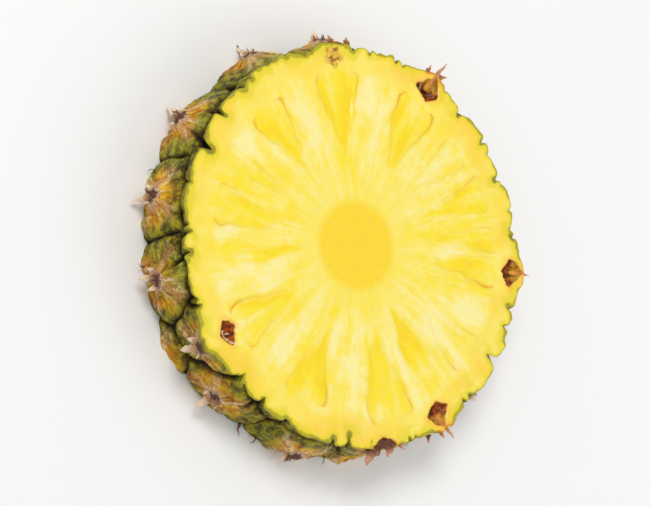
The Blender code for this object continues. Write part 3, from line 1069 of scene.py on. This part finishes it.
def dry_finish(name, root, middle, tip, roughness, brown_tip=srgb(206, 150, 116)):
    """Dry papery tissue that changes from its root to its tip, with streaks and dark flecks. The
    brown mark turns a leaf dark at its root, up to the brown tip's colour at its end."""
    f = Finish(name)
    here = f.place()
    streak, fine = f.noise(here, 0.9, 3.0, 0.6), f.noise(here, 2.4, 3.0, 0.6)
    share = f.plus(f.mark("share"), f.swing(streak, 0.5))
    colour = f.blend(f.ramp(share, 0.15, 0.40), root, middle)
    colour = f.blend(f.ramp(share, 0.45, 0.80), colour, tip)
    dark = f.blend(f.ramp(fine, 0.42, 0.56), srgb(64, 28, 6), srgb(120, 68, 24))
    browner = f.blend(f.ramp(share, 0.35, 0.85), dark, brown_tip)
    colour = f.blend(f.mark("brown"), colour, browner)
    colour = f.blend(f.ramp(fine, 0.52, 0.70, 0.0, 0.55), colour, srgb(112, 66, 38))
    return f.surface({
        "Base Color": colour,
        "Roughness": roughness,
        "Subsurface Weight": 0.12,
        "Subsurface Radius": (1.0, 0.6, 0.3),
        "Subsurface Scale": 0.0010,
        "Normal": f.bump(fine, 0.6, 0.0005),
    })


draw = np.random.default_rng(21)
LOBES = ((0.0, 1.0), (-0.55, 0.62), (0.5, 0.55))  # how far each lobe leans sideways, and its size
points_of_bracts = []
for number, (angle, height, _) in enumerate(fruitlets):
    if not 2.5 < height < THICKNESS - 1.5:
        continue
    root_height = min(height + 2.0, THICKNESS - 1.0)
    radius = skin_radius(angle, height + 1.0) - 1.4
    for lobe, (sideways, size) in enumerate(LOBES):
        length = size * draw.uniform(6.5, 9.0)
        lean = sideways + draw.uniform(-0.25, 0.25)
        start = (0.45 + 0.1 * lobe, lean, -1.0)
        end = (draw.uniform(0.5, 1.3), lean + draw.uniform(-0.6, 0.6), -draw.uniform(0.4, 1.0))
        root = (angle + 1.6 * sideways / GROOVE_RADIUS, radius, root_height - 0.6 * lobe)
        width = size * draw.uniform(2.3, 3.2)
        twist = draw.uniform(-0.7, 0.7)
        points_of_bracts.append(leaf(root, start, end, length, width, number + 0.37 * lobe, twist))
bract_points = leaves_piece("bract_points", points_of_bracts, draw.uniform(0, 0.35, len(points_of_bracts)))
bract_colours = (srgb(92, 48, 36), srgb(206, 154, 110), srgb(252, 232, 200))
bract_points.data.materials.append(dry_finish("dry_bract", *bract_colours, 0.62))
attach(bract_points, "root")

# ---------------------------------------------------------------- the thorns at the cut
# Where the knife meets an eye close to the peel, the bract's midrib is left as a thorn. It grows out
# of the pit of the cup and stands past the rim, with torn bits of the bract beside it.

# Angle, radius and height of the root, start and end directions, length, half-width, how brown
THORNS = (
    (71.2, 54.6, 17.6, (1.0, 0.00, 0.55), (1.0, 0.02, -0.15), 7.0, 0.9, 0.0),
    (69.4, 57.0, 18.0, (1.0, -0.5, 0.0), (0.8, -1.0, -0.2), 2.4, 0.9, 0.3),
    (136.2, 53.8, 17.4, (1.0, 0.0, 0.55), (0.9, -0.30, 0.10), 10.5, 1.2, 0.1),
    (134.6, 58.6, 18.8, (0.8, -0.5, 0.2), (0.5, -1.0, 0.5), 3.0, 1.1, 0.4),
    (138.0, 57.6, 18.6, (1.0, 0.3, 0.1), (1.0, -0.2, 0.3), 3.4, 1.1, 0.5),
    (16.4, 53.8, 17.4, (1.0, 0.0, 0.55), (1.0, 0.20, -0.10), 8.4, 1.0, 0.1),
    (14.6, 57.4, 18.4, (1.0, -0.1, 0.0), (1.0, 0.4, 0.1), 3.0, 1.0, 0.3),
    (10.5, 57.0, 18.0, (1.0, -0.2, 0.0), (1.0, -0.5, 0.1), 2.6, 1.0, 1.0),
    (351.6, 53.8, 18.6, (1.0, -0.2, 0.05), (0.9, -0.8, -0.15), 8.4, 3.2, 1.0),
    (353.6, 53.6, 18.0, (1.0, -0.2, 0.05), (0.7, -1.0, -0.45), 8.6, 2.6, 0.75),
    (355.0, 54.4, 18.9, (1.0, 0.1, 0.05), (1.0, -0.3, 0.1), 5.2, 2.6, 1.0),
    (357.8, 54.6, 18.9, (1.0, 0.5, 0.10), (0.6, 0.9, 0.15), 5.0, 1.2, 0.85),
    (166.8, 56.8, 18.6, (1.0, 0.1, 0.0), (0.9, -0.2, 0.1), 2.6, 1.5, 0.7),
    (172.4, 56.8, 18.6, (1.0, 0.0, 0.05), (0.9, 0.3, 0.2), 3.0, 1.6, 0.7),
)
thorns = []
for number, (angle, radius, height, start, end, length, width, brown) in enumerate(THORNS):
    root = (np.radians(angle), radius, height)
    thickness, cupped = 0.7 - 0.4 * brown, 0.15 + 0.4 * brown
    thorns.append(leaf(root, start, end, length, width, 60 + number, 0.0, thickness, cupped))
thorn_piece = leaves_piece("cut_thorns", thorns, [thorn[-1] for thorn in THORNS])
thorn_colours = (srgb(236, 164, 52), srgb(210, 134, 54), srgb(206, 152, 104))
thorn_piece.data.materials.append(dry_finish("dry_thorn", *thorn_colours, 0.55))
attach(thorn_piece, "root")

# ---------------------------------------------------------------- the dried flowers
# Each eye keeps what is left of its flower, dried petals and stamens: dark shards under the bract's
# point of each eye on the peel, and a pale tuft and brown shards in the cups that the cut opens.

shards, shard_tones = [], []
for number, (angle, height, _) in enumerate(fruitlets):
    if not 3.0 < height < THICKNESS - 4:
        continue
    for _ in range(4):
        off, down = draw.uniform(-1.3, 1.3), draw.uniform(-1.2, 1.0)
        place = angle + off / GROOVE_RADIUS
        radius = skin_radius(place, height - down) - 0.7
        start = (1.0, 0.5 * off, -0.2 - 0.4 * down)
        end = (0.8, draw.uniform(-1, 1), draw.uniform(-1.2, 0.2))
        length, width = draw.uniform(1.8, 3.2), draw.uniform(0.4, 0.8)
        shards.append(leaf((place, radius, height - down), start, end, length, width, number, 0.5, 0.2, 0.3))
        shard_tones.append(draw.uniform(0.6, 1.0))
# In the cups: angle, radius, height, start and end directions, length, half-width, how brown
IN_CUPS = (
    (288.2, 51.8, 18.0, (0.2, 0.1, 1.0), (-0.3, 0.5, 0.7), 3.0, 1.1, 0.0),
    (286.8, 52.0, 18.2, (0.1, -0.2, 1.0), (-0.5, -0.6, 0.7), 2.4, 0.8, 0.1),
    (289.8, 51.3, 18.2, (0.1, 0.3, 1.0), (-0.7, 0.4, 0.5), 2.8, 0.9, 0.05),
    (287.6, 50.8, 17.0, (-0.2, 0.0, 1.0), (-0.8, 0.3, 0.5), 2.6, 0.7, 0.2),
    (69.6, 53.2, 16.8, (0.3, -0.5, 1.0), (0.7, -1.0, 0.4), 2.8, 0.7, 0.9),
    (72.6, 52.9, 16.7, (0.2, 0.5, 1.0), (0.4, 1.0, 0.6), 2.4, 0.6, 0.8),
    (135.0, 52.4, 16.8, (0.2, -0.3, 1.0), (0.9, -0.6, 0.5), 3.0, 0.7, 0.7),
    (137.8, 52.6, 17.0, (0.4, 0.4, 1.0), (0.9, 0.5, 0.6), 2.6, 0.6, 0.4),
    (14.4, 52.2, 16.8, (0.2, -0.4, 1.0), (0.4, -1.0, 0.5), 3.0, 0.7, 0.9),
    (17.8, 52.4, 17.0, (0.3, 0.4, 1.0), (0.7, 0.8, 0.4), 2.4, 0.6, 0.7),
)
for number, (angle, radius, height, start, end, length, width, brown) in enumerate(IN_CUPS):
    root = (np.radians(angle), radius, height)
    shards.append(leaf(root, start, end, length, width, 30 + number, 0.4, 0.2, 0.3))
    shard_tones.append(brown)
dried_flowers = leaves_piece("dried_flowers", shards, shard_tones)
flower_colours = (srgb(176, 120, 74), srgb(224, 182, 134), srgb(240, 218, 184))
dried_flowers.data.materials.append(dry_finish("dry_flower", *flower_colours, 0.65, srgb(104, 56, 36)))
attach(dried_flowers, "root")

# ---------------------------------------------------------------- the torn fibres
# The knife tears a few fibres loose at the lower edge of the peel. Each is a thin dry curl that
# still hangs on by its root.

FIBRES = (  # angle, height, length, half-width
    (317, 1.5, 6.0, 0.65), (322, 1.2, 3.5, 0.3), (262, 1.8, 3.5, 0.3), (236, 1.5, 3.5, 0.25),
    (345, 1.6, 4.0, 0.3), (30, 1.5, 4.0, 0.3), (58, 2.0, 5.0, 0.4), (96, 1.5, 4.0, 0.25),
    (128, 1.8, 5.0, 0.35),
)
hairs = []
for number, (angle, height, length, width) in enumerate(FIBRES):
    radius = skin_radius(np.radians(angle), height) - 0.5
    lean = draw.choice((-1, 1)) * draw.uniform(0.6, 1.2)
    start, end = (1.0, -lean, -0.2), (0.8, 1.6 * lean, draw.uniform(-0.1, 0.6))
    root = (np.radians(angle), radius, height)
    hairs.append(leaf(root, start, end, length, width, 90 + number, 0.6, 0.16, 0.3))
fibres = leaves_piece("torn_fibres", hairs, np.full(len(hairs), 0.85))
fibre_colours = (srgb(96, 60, 34), srgb(120, 78, 44), srgb(150, 110, 76))
fibres.data.materials.append(dry_finish("dry_fibre", *fibre_colours, 0.6, srgb(126, 84, 56)))
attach(fibres, "root")
